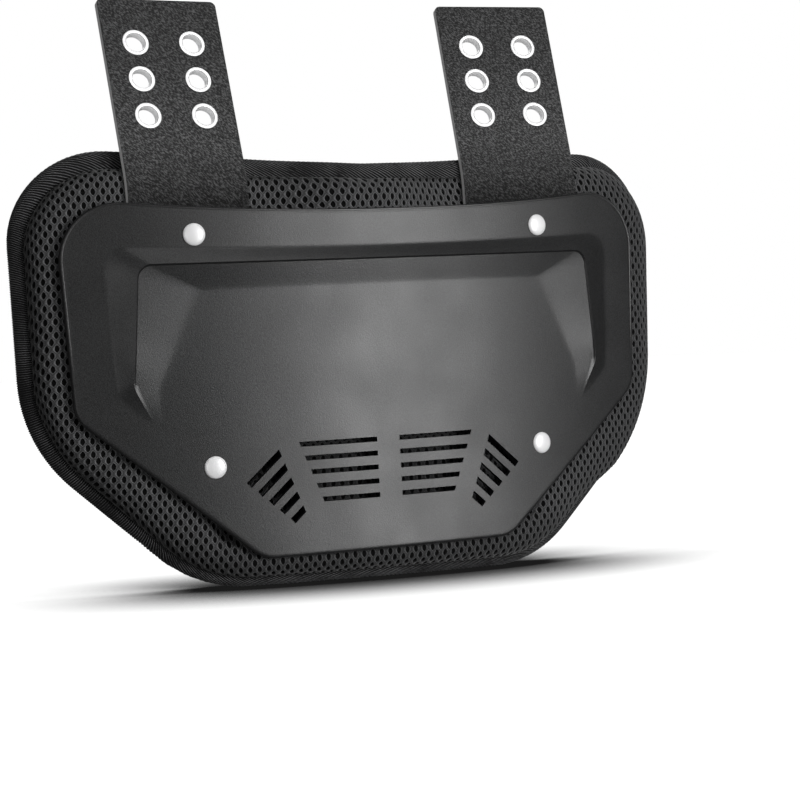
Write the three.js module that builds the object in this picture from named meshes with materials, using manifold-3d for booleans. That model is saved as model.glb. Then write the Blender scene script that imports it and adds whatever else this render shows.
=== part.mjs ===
// Football back plate: a moulded plastic plate riveted over a bowed foam pad that is covered in
// spacer mesh and bound round its edge. Two strap ends rise from behind the plate, each with six
// metal eyelets, and hang the whole thing from the back of a pair of shoulder pads.
// Millimetres, +Z up, +X to the right, and the plate faces -Y.
import * as THREE from 'three';
import { mergeVertices } from 'three/addons/utils/BufferGeometryUtils.js';
import Module from 'manifold-3d';

const wasm = await Module();
wasm.setup();

// Driving dimensions. Depths run back, towards +Y, from the front face of the plate's flange.
const BOW_RADIUS = 500;       // plate and pad bend round the wearer's back
const GAP = 0.3;              // play between neighbouring pieces
const PLATE_WALL = 2.6;
const PLATE_EDGE_ROUND = 0.8;
const RIDGE_HEIGHT = 3.0;     // ridge round the panel, forward of the flange
const STEP_HEIGHT = 2.3;      // foot of the small step just inside the ridge
const PANEL_FADE = { zeroZ: -29, fullZ: 0 };  // the ridge dies out between these heights

const STRAP = {
  x: 75.9, width: 52.2, thickness: 3, cornerRadius: 2.4, frontDepth: 4.1, length: 116.1,
  tailZ: 34, bendZ: 60, bendRadius: 50, leanDeg: 17.4,
  twistStart: 17.4, twistEnd: 24, twistPivot: 0.9, inwardDeg: 4,  // from the plate's bow to just inward
};
const EYELET = {
  holeRadius: 4.1, barrelRadius: 4.5, flangeRadius: 5.5, flangeLift: 0.9, sides: 12,
  columnPitch: 24.6, rowPitch: 16.3, rows: 3, topRowFromEnd: 19.8,
};
const RIVET = {
  capRadius: 4.65, capHeight: 1.7, shankRadius: 2, backRadius: 4.2, backHeight: 1, sides: 12,
  top: { x: 77, z: 46.8 }, bottom: { x: 73.6, z: -46.8 },
};
const SLOTS = {
  rows: 5, width: 1.95, pitch: 5.74, firstZ: -38.85, innerX: 5, outerX: 38.9, slant: 0.381,
  diagonalGap: 9.4, diagonalFirstZ: -41.3, diagonalPitch: 5.83, diagonalWidth: 2.1, diagonalDeg: -42.2,
  diagonalLength: 18.9, diagonalShorten: 2.85,
};

// Every outline is the same rounded figure: a dipped top edge, an upper corner, a side, a lower corner,
// a slanted edge, a foot corner and a flat foot. Each row gives its corners and their radii, and the
// share of topX where the dipped top edge starts to rise.
const OUTLINE_COLUMNS = [
  'dipZ', 'topX', 'topZ', 'topR', 'sideX', 'sideZ', 'sideR', 'footX', 'footZ', 'footR', 'rise'];
const OUTLINE_ROWS = {
  plate:        [55.4, 130.6, 63.9, 23.0, 126.7, -24.7, 12, 55.8, -85.3, 15, 0.45],
  bindingInner: [67.8, 141.4, 74.2, 32.0, 138.2, -34.1, 58, 75.2, -93.6, 51, 0.08],
  bindingOuter: [75.4, 147.6, 83.6, 37.0, 144.0, -37.1, 62, 77.7, -98.4, 55, 0.08],
  bevel:        [40.2, 113.6, 43.6, 9.0, 110.5, -16.0, 8, 96.0, -31.0, 4, 0.45],
  ridge:        [35.0, 100.6, 35.7, 6.0, 104.4, -13.0, 4, 95.6, -30.4, 4, 0.45],
  step:         [34.3, 99.9, 35.0, 5.5, 103.6, -12.8, 4, 95.1, -30.0, 4, 0.45],
  facet:        [24.4, 76.5, 24.6, 2.5, 93.5, -13.5, 4, 94.0, -29.5, 3, 0.45],
};
const OUTLINE_STEPS = { top: 6, topCorner: 5, side: 2, sideCorner: 4, slant: 4, footCorner: 4, foot: 4 };

// Pad sections from front to back: across runs from the plate's edge, 0, to the binding's inner edge, 1.
const PAD_SECTIONS = [
  { across: 0.00, depth: 3.2 },
  { across: 0.40, depth: 3.7 },
  { across: 0.68, depth: 5.2 },
  { across: 0.88, depth: 8.0 },
  { across: 0.98, depth: 11.4 },
  { across: 0.99, depth: 14.2 },
  { across: 0.95, depth: 14.9 },
  { across: 0.95, depth: 22.4 },
  { across: 0.70, depth: 24.2 },
  { across: 0.00, depth: 25.0 },
];
const PAD_FACE_SHARES = [0.9, 0.6, 0.28];   // loops that fill the pad's front and back faces
const PANEL_SHARES = [0.72, 0.45, 0.2];           // loops that fill the plate's panel
const FLANGE_SHARES = [0.25, 0.5, 0.75, 0.97];    // loops from the bevel out to the plate's rounded edge

// Binding section: across runs from the binding's inner edge, 0, to its outer edge, 1.
const BINDING_SECTION = [
  { across: 0.06, depth: 15.0 },
  { across: 0.40, depth: 13.8 },
  { across: 0.83, depth: 15.2 },
  { across: 1.00, depth: 18.4 },
  { across: 0.85, depth: 21.6 },
  { across: 0.45, depth: 23.0 },
  { across: 0.06, depth: 22.4 },
];
const FILL_CENTRE_Z = -2;     // height of the point that the filling loops close on

const bow = (x) => BOW_RADIUS - Math.sqrt(BOW_RADIUS ** 2 - x ** 2);
const bowAngle = (x) => Math.asin(x / BOW_RADIUS);
const onBow = (point, depth) => new THREE.Vector3(point.x, bow(point.x) + depth, point.y);

// Outlines and lofts

// Points of the arc that rounds a corner between two straight edges, tangent points included.
function cornerArc(before, corner, after, radius, steps) {
  const toBefore = before.clone().sub(corner).normalize();
  const toAfter = after.clone().sub(corner).normalize();
  const halfAngle = Math.acos(THREE.MathUtils.clamp(toBefore.dot(toAfter), -1, 1)) / 2;
  const bisector = toBefore.clone().add(toAfter).normalize();
  const centre = corner.clone().addScaledVector(bisector, radius / Math.sin(halfAngle));
  const start = corner.clone().addScaledVector(toBefore, radius / Math.tan(halfAngle)).sub(centre);
  const turn = -(Math.PI - 2 * halfAngle);
  const points = [];
  for (let i = 0; i <= steps; i++) {
    points.push(start.clone().rotateAround(new THREE.Vector2(), (turn * i) / steps).add(centre));
  }
  return points;
}

// Closed loop of Vector2(x, z), clockwise seen from the front, starting at the top middle.
function outlineLoop(row) {
  const control = new THREE.Vector2(row.topX * row.rise, row.dipZ);
  const top = new THREE.Vector2(row.topX, row.topZ);
  const side = new THREE.Vector2(row.sideX, row.sideZ);
  const foot = new THREE.Vector2(row.footX, row.footZ);
  const footMiddle = new THREE.Vector2(0, row.footZ);
  const topMiddle = new THREE.Vector2(0, row.dipZ);

  const arcs = [
    cornerArc(control, top, side, row.topR, OUTLINE_STEPS.topCorner),
    cornerArc(top, side, foot, row.sideR, OUTLINE_STEPS.sideCorner),
    cornerArc(side, foot, footMiddle, row.footR, OUTLINE_STEPS.footCorner),
  ];
  const topEdge = new THREE.QuadraticBezierCurve(topMiddle, control, arcs[0][0]);
  const straight = (from, to, steps) => new THREE.LineCurve(from, to).getPoints(steps).slice(1, -1);
  const half = [
    ...topEdge.getPoints(OUTLINE_STEPS.top).slice(0, -1),
    ...arcs[0], ...straight(arcs[0].at(-1), arcs[1][0], OUTLINE_STEPS.side),
    ...arcs[1], ...straight(arcs[1].at(-1), arcs[2][0], OUTLINE_STEPS.slant),
    ...arcs[2], ...straight(arcs[2].at(-1), footMiddle, OUTLINE_STEPS.foot), footMiddle,
  ];
  const mirrored = half.slice(1, -1).reverse().map((p) => new THREE.Vector2(-p.x, p.y));
  return [...half, ...mirrored];
}

const namedRow = (values) => Object.fromEntries(values.map((value, i) => [OUTLINE_COLUMNS[i], value]));
const loops = Object.fromEntries(
  Object.entries(OUTLINE_ROWS).map(([name, values]) => [name, outlineLoop(namedRow(values))]));
const between = (inner, outer, share) => inner.map((p, i) => p.clone().lerp(outer[i], share));
const shrunk = (loop, share) => loop.map(
  (p) => new THREE.Vector2(p.x * share, FILL_CENTRE_Z + (p.y - FILL_CENTRE_Z) * share));

// Indexed geometry through a list of equal closed loops of Vector3, listed from front to back.
// It closes on a point at each end, or end to start as a ring.
function loft(sections, { firstPoint, lastPoint, ring = false }) {
  const count = sections[0].length;
  const vertices = sections.flat();
  const triangles = [];
  const steps = ring ? sections.length : sections.length - 1;
  for (let s = 0; s < steps; s++) {
    const here = s * count;
    const next = ((s + 1) % sections.length) * count;
    for (let j = 0; j < count; j++) {
      const k = (j + 1) % count;
      triangles.push(here + j, here + k, next + j, here + k, next + k, next + j);
    }
  }
  if (!ring) {
    const first = vertices.push(firstPoint) - 1;
    const last = vertices.push(lastPoint) - 1;
    const lastLoop = (sections.length - 1) * count;
    for (let j = 0; j < count; j++) {
      const k = (j + 1) % count;
      triangles.push(first, k, j, lastLoop + j, lastLoop + k, last);
    }
  }
  const geometry = new THREE.BufferGeometry().setFromPoints(vertices);
  geometry.setIndex(triangles);
  return geometry;
}

// Solids for cutting

function welded(geometry) {
  const plain = geometry.clone();
  plain.deleteAttribute('normal');
  plain.deleteAttribute('uv');
  return mergeVertices(plain, 1e-4);
}

function toSolid(geometry) {
  const closed = welded(geometry);
  return new wasm.Manifold(new wasm.Mesh({
    numProp: 3,
    vertProperties: new Float32Array(closed.attributes.position.array),
    triVerts: new Uint32Array(closed.index.array),
  }));
}

function fromSolid(solid) {
  const mesh = solid.getMesh();
  const geometry = new THREE.BufferGeometry();
  geometry.setAttribute('position', new THREE.BufferAttribute(new Float32Array(mesh.vertProperties), 3));
  geometry.setIndex(new THREE.BufferAttribute(new Uint32Array(mesh.triVerts), 1));
  return geometry;
}

const cutAll = (geometry, tools) =>
  fromSolid(tools.reduce((solid, tool) => solid.subtract(toSolid(tool)), toSolid(geometry)));

// A prism along Y through the whole object, from corners given as [x, z].
function throughPrism(corners) {
  const reach = 60;
  const shape = new THREE.Shape(corners.map(([x, z]) => new THREE.Vector2(x, z)));
  const prism = new THREE.ExtrudeGeometry(shape, { depth: 2 * reach, bevelEnabled: false });
  return prism.rotateX(Math.PI / 2).translate(0, reach, 0);
}

// A round bar along the depth axis, centred on the origin.
const bar = (radius, length, sides) => new THREE.CylinderGeometry(radius, radius, length, sides);

// Places a piece that was made about the depth axis at (x, z) on the bowed surface, square to it.
function seatMatrix(x, z, depth = 0) {
  const turn = bowAngle(x);
  return new THREE.Matrix4().makeRotationZ(turn)
    .setPosition(x - depth * Math.sin(turn), bow(x) + depth * Math.cos(turn), z);
}

const MIRRORED_SIDES = [{ side: 'left', sign: -1 }, { side: 'right', sign: 1 }];

// Finishes
const finish = (color, roughness, metalness = 0) =>
  new THREE.MeshStandardMaterial({ color, roughness, metalness });
const FINISHES = {
  plate: finish(0x3c3d3f, 0.55),
  mesh: finish(0x222324, 0.95),
  binding: finish(0x121213, 0.95),
  strap: finish(0x262627, 0.7),
  metal: finish(0xe6e6e6, 0.3, 0.6),
};

// Plate: a raised ridge frames a panel that dips to the flange's level and dies out towards the foot.
const panelFade = (z) => THREE.MathUtils.smoothstep(z, PANEL_FADE.zeroZ, PANEL_FADE.fullZ);
const reliefLoop = (loop, height) => loop.map((p) => onBow(p, -height * panelFade(p.y)));

function slotPrisms() {
  const prisms = [];
  const slotDirection = new THREE.Vector2(1, 0).rotateAround(
    new THREE.Vector2(), THREE.MathUtils.degToRad(SLOTS.diagonalDeg));
  const slotNormal = new THREE.Vector2(slotDirection.y, -slotDirection.x);
  for (const { sign } of MIRRORED_SIDES) {
    for (let row = 0; row < SLOTS.rows; row++) {
      const topZ = SLOTS.firstZ - row * SLOTS.pitch;
      const bottomZ = topZ - SLOTS.width;
      const outerAt = (z) => SLOTS.outerX + (z - SLOTS.firstZ) * SLOTS.slant;
      prisms.push(throughPrism([
        [sign * SLOTS.innerX, topZ], [sign * outerAt(topZ), topZ],
        [sign * outerAt(bottomZ), bottomZ], [sign * SLOTS.innerX, bottomZ],
      ]));

      const startZ = SLOTS.diagonalFirstZ - row * SLOTS.diagonalPitch;
      const start = new THREE.Vector2(outerAt(startZ) + SLOTS.diagonalGap, startZ);
      const end = start.clone().addScaledVector(
        slotDirection, SLOTS.diagonalLength - row * SLOTS.diagonalShorten);
      const endLow = end.clone().addScaledVector(slotNormal, SLOTS.diagonalWidth);
      const startDrop = SLOTS.diagonalWidth / (slotNormal.x * SLOTS.slant + slotNormal.y);
      const startLow = new THREE.Vector2(start.x + startDrop * SLOTS.slant, start.y + startDrop);
      prisms.push(throughPrism([start, end, endLow, startLow].map((p) => [sign * p.x, p.y])));
    }
  }
  return prisms;
}

function makePlate() {
  const front = [
    ...[...PANEL_SHARES].reverse().map((share) => reliefLoop(shrunk(loops.facet, share), 0)),
    reliefLoop(loops.facet, 0),
    reliefLoop(loops.step, STEP_HEIGHT),
    reliefLoop(loops.ridge, RIDGE_HEIGHT),
    reliefLoop(loops.bevel, 0),
    ...FLANGE_SHARES.map((share) => reliefLoop(between(loops.bevel, loops.plate, share), 0)),
  ];
  const backwards = new THREE.Vector3(0, PLATE_WALL, 0);
  const back = front.map((loop) => loop.map((p) => p.clone().add(backwards))).reverse();
  const edge = [PLATE_EDGE_ROUND, PLATE_WALL - PLATE_EDGE_ROUND].map(
    (depth) => loops.plate.map((p) => onBow(p, depth)));
  const blank = loft([...front, ...edge, ...back], {
    firstPoint: onBow(new THREE.Vector2(0, FILL_CENTRE_Z), 0),
    lastPoint: onBow(new THREE.Vector2(0, FILL_CENTRE_Z), PLATE_WALL),
  });
  const rivetHoles = rivetSeats().map(({ x, z }) =>
    bar(RIVET.shankRadius + GAP, 40, RIVET.sides).applyMatrix4(seatMatrix(x, z)));
  return cutAll(blank, [...slotPrisms(), ...rivetHoles]);
}

// Straps: a straight tail behind the plate, a bend over the pad's top edge and a leaning flat end that
// has twisted out of the plate's bow to face a little inward.
// Frame of a strap: x across, y back from its front face, z up. Along runs from the tail's end.
function strapFrame(along) {
  const straight = STRAP.bendZ - STRAP.tailZ;
  const lean = THREE.MathUtils.degToRad(STRAP.leanDeg);
  const turn = THREE.MathUtils.clamp((along - straight) / STRAP.bendRadius, 0, lean);
  const beyond = Math.max(0, along - straight - lean * STRAP.bendRadius);
  const before = Math.min(along, straight);
  return {
    turn,
    y: STRAP.bendRadius * (1 - Math.cos(turn)) + beyond * Math.sin(turn),
    z: STRAP.tailZ + before + STRAP.bendRadius * Math.sin(turn) + beyond * Math.cos(turn),
  };
}

// Twist of the right strap (sign 1) or the left one (sign -1) about Z, measured from its seat.
function strapTwist(sign, along) {
  const whole = bowAngle(STRAP.x) + THREE.MathUtils.degToRad(STRAP.inwardDeg);
  return -sign * whole * THREE.MathUtils.smoothstep(along, STRAP.twistStart, STRAP.twistEnd);
}

// Point of a strap at a distance along it, across it and behind its front face.
function strapPoint(sign, along, across, behind) {
  const { turn, y, z } = strapFrame(along);
  const twist = strapTwist(sign, along);
  const pivot = (sign * STRAP.twistPivot * STRAP.width) / 2;
  const aside = across - pivot;
  const depth = y + behind * Math.cos(turn);
  return new THREE.Vector3(
    pivot + aside * Math.cos(twist) - depth * Math.sin(twist),
    aside * Math.sin(twist) + depth * Math.cos(twist),
    z - behind * Math.sin(turn));
}

// Closed strip along the strap's route, grown on every side for cutting its pocket in what it presses on.
function strapStrip(sign, grow = 0, growFront = grow) {
  const turnSteps = 9;
  const cornerSteps = 4;
  const bendEnd = STRAP.bendZ - STRAP.tailZ + STRAP.bendRadius * THREE.MathUtils.degToRad(STRAP.leanDeg);
  const half = STRAP.width / 2 + grow;
  const stations = [{ along: -grow, half }];
  for (let i = 0; i <= turnSteps; i++) {
    stations.push({ along: THREE.MathUtils.lerp(STRAP.twistStart, bendEnd, i / turnSteps), half });
  }
  for (let i = 0; i <= cornerSteps; i++) {
    const angle = (i / cornerSteps) * (Math.PI / 2);
    stations.push({
      along: STRAP.length + grow - STRAP.cornerRadius * (1 - Math.sin(angle)),
      half: half - STRAP.cornerRadius * (1 - Math.cos(angle)),
    });
  }
  const back = STRAP.thickness + grow;
  const sections = stations.map(({ along, half: reach }) => [
    strapPoint(1, along, -reach, -growFront), strapPoint(1, along, reach, -growFront),
    strapPoint(1, along, reach, back), strapPoint(1, along, -reach, back),
  ]);
  const middle = (along) => strapPoint(1, along, 0, STRAP.thickness / 2);
  const right = loft(sections, { firstPoint: middle(-grow), lastPoint: middle(STRAP.length + grow) });
  return sign > 0 ? right : mirrored(right);
}

// Mirror image across x, with its faces turned back to point outward.
function mirrored(geometry) {
  const copy = geometry.clone().scale(-1, 1, 1);
  const order = copy.index.array;
  for (let i = 0; i < order.length; i += 3) {
    [order[i], order[i + 1]] = [order[i + 1], order[i]];
  }
  return copy;
}

function eyeletSeats() {
  const seats = [];
  for (let row = 0; row < EYELET.rows; row++) {
    for (const column of [-1, 1]) {
      seats.push({
        along: STRAP.length - EYELET.topRowFromEnd - row * EYELET.rowPitch,
        across: (column * EYELET.columnPitch) / 2,
      });
    }
  }
  return seats;
}

// Places a piece made about its own y axis on the strap's mid-plane, square to the strap there.
function strapSeatMatrix(sign, { along, across }) {
  const { turn } = strapFrame(along);
  return new THREE.Matrix4().makeRotationZ(strapTwist(sign, along))
    .multiply(new THREE.Matrix4().makeRotationX(-turn))
    .setPosition(strapPoint(sign, along, across, STRAP.thickness / 2));
}

function makeStrap(sign) {
  const eyeletHoles = eyeletSeats().map((seat) =>
    bar(EYELET.barrelRadius + GAP, 4 * STRAP.thickness, EYELET.sides)
      .applyMatrix4(strapSeatMatrix(sign, seat)));
  const rivetSeat = { along: RIVET.top.z - STRAP.tailZ, across: sign * (RIVET.top.x - STRAP.x) };
  const rivetHole = bar(RIVET.shankRadius + GAP, 4 * STRAP.thickness, RIVET.sides)
    .applyMatrix4(strapSeatMatrix(sign, rivetSeat));
  return cutAll(strapStrip(sign), [...eyeletHoles, rivetHole]);
}

// Eyelet: a barrel through the strap with a rolled flange on each face, y back.
function makeEyelet() {
  const under = STRAP.thickness / 2 + GAP;
  const proud = under + EYELET.flangeLift;
  const { holeRadius, barrelRadius, flangeRadius } = EYELET;
  const lipRadius = holeRadius + 0.3;
  const crownRadius = flangeRadius - 0.3;
  const profile = [
    [holeRadius, -under], [lipRadius, -proud], [crownRadius, -proud], [flangeRadius, -under],
    [barrelRadius, -under], [barrelRadius, under],
    [flangeRadius, under], [crownRadius, proud], [lipRadius, proud], [holeRadius, under],
    [holeRadius, -under],
  ].map(([radius, y]) => new THREE.Vector2(radius, y));
  return welded(new THREE.LatheGeometry(profile, EYELET.sides));
}

// Rivets: a low domed cap, a shank and a plain back disc in one piece, y back from the plate's face.
function rivetSeats() {
  const strapBack = STRAP.frontDepth + STRAP.thickness;
  return MIRRORED_SIDES.flatMap(({ side, sign }) => [
    { name: `rivet_top_${side}`, x: sign * RIVET.top.x, z: RIVET.top.z, gripDepth: strapBack },
    { name: `rivet_bottom_${side}`, x: sign * RIVET.bottom.x, z: RIVET.bottom.z, gripDepth: PLATE_WALL },
  ]);
}

function makeRivet(gripDepth, grow = 0) {
  const { capRadius, capHeight, shankRadius, backRadius, backHeight } = RIVET;
  const rim = -GAP - 0.35;
  const crown = rim - capHeight;
  const disc = gripDepth + GAP;
  const profile = [
    [0, crown], [capRadius * 0.5, crown + capHeight * 0.14], [capRadius * 0.84, crown + capHeight * 0.48],
    [capRadius, rim], [capRadius, -GAP], [shankRadius + grow, -GAP], [shankRadius + grow, disc - grow],
    [backRadius + grow, disc - grow], [backRadius + grow, disc + backHeight + grow],
    [0, disc + backHeight + grow],
  ].map(([radius, y]) => new THREE.Vector2(radius, y));
  return welded(new THREE.LatheGeometry(profile, RIVET.sides));
}

// Pad: solid foam in its cover, pressed in where the straps' tails and the rivets' discs lie.
function makePad(strapPockets) {
  const padLoop = ({ across, depth }) =>
    between(loops.plate, loops.bindingInner, across).map((p) => onBow(p, depth));
  const frontDepth = PAD_SECTIONS[0].depth;
  const backDepth = PAD_SECTIONS.at(-1).depth;
  const fill = (depth) =>
    PAD_FACE_SHARES.map((share) => shrunk(loops.plate, share).map((p) => onBow(p, depth)));
  const centre = new THREE.Vector2(0, FILL_CENTRE_Z);
  const body = loft(
    [...fill(frontDepth).reverse(), ...PAD_SECTIONS.map(padLoop), ...fill(backDepth)],
    { firstPoint: onBow(centre, frontDepth), lastPoint: onBow(centre, backDepth) });
  const rivetPockets = rivetSeats().map(({ x, z, gripDepth }) =>
    makeRivet(gripDepth, GAP).applyMatrix4(seatMatrix(x, z)));
  return cutAll(body, [...strapPockets, ...rivetPockets]);
}

// Binding: a ribbed tape folded over the pad's edge all round, one closed ring, pressed in by the straps.
function makeBinding(strapPockets) {
  const sections = BINDING_SECTION.map(({ across, depth }) =>
    between(loops.bindingInner, loops.bindingOuter, across).map((p) => onBow(p, depth)));
  return cutAll(loft(sections, { ring: true }), strapPockets);
}

// Assembly

function namedMesh(name, geometry, material) {
  const mesh = new THREE.Mesh(geometry, material);
  mesh.name = name;
  return mesh;
}

const strapMatrix = (sign) => seatMatrix(sign * STRAP.x, 0, STRAP.frontDepth);

const POCKET_GAP = 0.5;       // play of a strap in its pocket, where it turns
const POCKET_FRONT = 16;      // how far a strap's pocket opens forward of the strap
const strapPockets = MIRRORED_SIDES.map(({ sign }) =>
  strapStrip(sign, POCKET_GAP, POCKET_FRONT).applyMatrix4(strapMatrix(sign)));

const assembly = new THREE.Group();
assembly.add(namedMesh('plate', makePlate(), FINISHES.plate));
assembly.add(namedMesh('pad', makePad(strapPockets), FINISHES.mesh));
assembly.add(namedMesh('binding', makeBinding(strapPockets), FINISHES.binding));

for (const { name, x, z, gripDepth } of rivetSeats()) {
  const rivet = namedMesh(name, makeRivet(gripDepth), FINISHES.metal);
  rivet.applyMatrix4(seatMatrix(x, z));
  assembly.add(rivet);
}

for (const { side, sign } of MIRRORED_SIDES) {
  const strapGroup = new THREE.Group();
  strapGroup.applyMatrix4(strapMatrix(sign));
  strapGroup.add(namedMesh(`strap_${side}`, makeStrap(sign), FINISHES.strap));
  eyeletSeats().forEach((seat, index) => {
    const eyelet = namedMesh(`eyelet_${side}_${index + 1}`, makeEyelet(), FINISHES.metal);
    eyelet.applyMatrix4(strapSeatMatrix(sign, seat));
    strapGroup.add(eyelet);
  });
  assembly.add(strapGroup);
}

// The origin is where it hangs: midway between the straps, at the middle row of eyelets.
const middleRow = EYELET.topRowFromEnd + ((EYELET.rows - 1) / 2) * EYELET.rowPitch;
const hangPoint = strapPoint(1, STRAP.length - middleRow, 0, STRAP.thickness / 2)
  .applyMatrix4(strapMatrix(1));
assembly.position.set(0, -hangPoint.y, -hangPoint.z);

const backPlate = new THREE.Group();
backPlate.add(assembly);

export default backPlate;
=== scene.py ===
import math

import bpy
import numpy as np
from mathutils import Matrix, Vector, geometry


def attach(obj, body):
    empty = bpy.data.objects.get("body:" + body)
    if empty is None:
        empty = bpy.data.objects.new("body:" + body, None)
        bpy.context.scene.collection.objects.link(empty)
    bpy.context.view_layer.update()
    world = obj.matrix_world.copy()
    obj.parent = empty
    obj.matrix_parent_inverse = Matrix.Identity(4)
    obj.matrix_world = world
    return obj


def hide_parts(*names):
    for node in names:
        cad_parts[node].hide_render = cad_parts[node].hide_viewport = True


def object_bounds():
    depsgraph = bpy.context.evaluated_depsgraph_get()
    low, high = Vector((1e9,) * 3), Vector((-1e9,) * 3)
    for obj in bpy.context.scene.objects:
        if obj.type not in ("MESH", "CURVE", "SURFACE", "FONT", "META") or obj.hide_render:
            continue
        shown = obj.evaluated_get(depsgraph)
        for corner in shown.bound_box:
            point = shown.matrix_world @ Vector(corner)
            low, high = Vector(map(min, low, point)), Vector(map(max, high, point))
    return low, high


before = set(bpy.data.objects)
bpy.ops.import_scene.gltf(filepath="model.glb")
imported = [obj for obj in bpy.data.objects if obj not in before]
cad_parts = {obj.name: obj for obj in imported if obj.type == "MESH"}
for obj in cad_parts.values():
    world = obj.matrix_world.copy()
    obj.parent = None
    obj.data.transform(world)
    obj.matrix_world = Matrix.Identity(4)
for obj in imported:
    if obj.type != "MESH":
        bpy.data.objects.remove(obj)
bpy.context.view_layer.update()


# Foam pad
# A slab of closed-cell foam about 25 mm thick, moulded to bow round the small of the back. Its rim
# swells past the plate, falls away into the neck that the edge binding grips, and gives way under the straps.
MM = 0.001
BOW_RADIUS = 500.0
PLATE_CENTRE = np.array([0.0, -30.3407, -111.5429])   # middle of the plate, measured from the hanging point
OUTLINE_STEPS = dict(top=26, top_corner=16, side=14, side_corner=12, slant=20, foot_corner=12, foot=14)
OUTLINES = {
    # name: dip_z, top_x, top_z, top_r, side_x, side_z, side_r, foot_x, foot_z, foot_r, rise
    "plate": (55.4, 130.6, 63.9, 23.0, 126.7, -24.7, 12, 55.8, -85.3, 15, 0.45),
    "binding_inner": (67.8, 141.4, 74.2, 32.0, 138.2, -34.1, 58, 75.2, -93.6, 51, 0.08),
    "binding_outer": (75.4, 147.6, 83.6, 37.0, 144.0, -37.1, 62, 77.7, -98.4, 55, 0.08),
}
PAD_SKEW, PAD_ASIDE = 0.016, 0.9     # the pad is sewn on about a degree askew, and a little to the right
RIGHT_SWELL = 0.28     # how much further the rim swells over the binding on the right
PRESS = dict(slack=0.75, beside=0.8, ease=42, limit=18)     # how the foam gives way behind and beside a strap
VENT_HOLLOW = 5.0      # how far the foam stands back behind the vents
VENT_FADE = dict(side=(78, 66), top=(-28, -36), foot=(-82, -75))     # where that hollow begins and is whole
VENT_COVER = dict(side=68, top=-34, foot=-76)     # where cloth is worked behind the vents
CLOTH_PULL = 0.28      # how far the cloth runs askew beside the right strap
BACK_CLOTH_SHIFT = 600.0     # the back's cloth lies beside the front's on the flat
PAD_RIM = [   # across: 0 at the plate's edge, 1 at the binding's inner edge; depth behind the plate's face
    (0.00, 5.2), (0.18, 4.9), (0.36, 4.8), (0.52, 5.1), (0.68, 5.9), (0.82, 7.2),
    (0.94, 9.0), (1.01, 11.0), (1.03, 12.8), (1.03, 14.4), (1.04, 15.8),
]
PAD_NECK = [(1.06, 18.2), (1.06, 20.4)]
PAD_BACK = [(1.02, 21.6), (0.93, 22.6), (0.80, 23.5), (0.55, 24.3), (0.25, 24.8), (0.00, 25.0)]
FILL_SHARES = [0.97, 0.94, 0.9, 0.85, 0.8, 0.75, 0.7, 0.65, 0.6, 0.55, 0.5, 0.44, 0.38, 0.32, 0.25, 0.18, 0.1]
FILL_CENTRE_Z = -2.0
STRAP = dict(x=75.9, width=52.2, thickness=3.0, corner=2.4, front_depth=4.1, length=116.1,
             tail_z=34.0, bend_z=60.0, bend_radius=50.0, lean=math.radians(17.4),
             twist_start=17.4, twist_end=24.0, twist_pivot=0.9, inward=math.radians(4))


def bow(x):
    return BOW_RADIUS - np.sqrt(BOW_RADIUS ** 2 - np.square(x))


def on_circle(angles):
    return np.stack([np.cos(angles), np.sin(angles)], 1)


def corner_arc(before, corner, after, radius, steps):
    """Points of the arc that rounds a corner, tangent points included."""
    to_before = (before - corner) / np.linalg.norm(before - corner)
    to_after = (after - corner) / np.linalg.norm(after - corner)
    half = math.acos(float(np.clip(to_before @ to_after, -1, 1))) / 2
    bisector = (to_before + to_after) / np.linalg.norm(to_before + to_after)
    centre = corner + bisector * radius / math.sin(half)
    start = corner + to_before * radius / math.tan(half) - centre
    turn = on_circle(-np.linspace(0, math.pi - 2 * half, steps + 1))
    return centre + np.stack([turn[:, 0] * start[0] - turn[:, 1] * start[1],
                              turn[:, 1] * start[0] + turn[:, 0] * start[1]], 1)


def outline_loop(dip_z, top_x, top_z, top_r, side_x, side_z, side_r, foot_x, foot_z, foot_r, rise):
    """Closed loop of (x, z), clockwise from the front: dipped top, side, slanted edge and flat foot."""
    n = OUTLINE_STEPS
    control, top = np.array([top_x * rise, dip_z]), np.array([top_x, top_z])
    side, foot = np.array([side_x, side_z]), np.array([foot_x, foot_z])
    foot_middle = np.array([0.0, foot_z])
    arcs = [corner_arc(control, top, side, top_r, n["top_corner"]),
            corner_arc(top, side, foot, side_r, n["side_corner"]),
            corner_arc(side, foot, foot_middle, foot_r, n["foot_corner"])]
    t = np.linspace(0, 1, n["top"] + 1)[:-1, None]
    top_edge = (1 - t) ** 2 * [0.0, dip_z] + 2 * t * (1 - t) * control + t ** 2 * arcs[0][0]

    def straight(start, end, steps):
        return start + (end - start) * np.linspace(0, 1, steps + 1)[1:-1, None]

    half = np.concatenate([
        top_edge, arcs[0], straight(arcs[0][-1], arcs[1][0], n["side"]),
        arcs[1], straight(arcs[1][-1], arcs[2][0], n["slant"]),
        arcs[2], straight(arcs[2][-1], foot_middle, n["foot"]), [foot_middle]])
    return np.concatenate([half, half[1:-1][::-1] * [-1, 1]])


def on_bow(loop, depth):
    """A loop of (x, z) laid on the bowed surface at a depth behind the plate's face, in millimetres."""
    return np.stack([loop[:, 0], bow(loop[:, 0]) + depth, loop[:, 1]], 1)


def shrunk(loop, share):
    return np.stack([loop[:, 0] * share, FILL_CENTRE_Z + (loop[:, 1] - FILL_CENTRE_Z) * share], 1)


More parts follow.
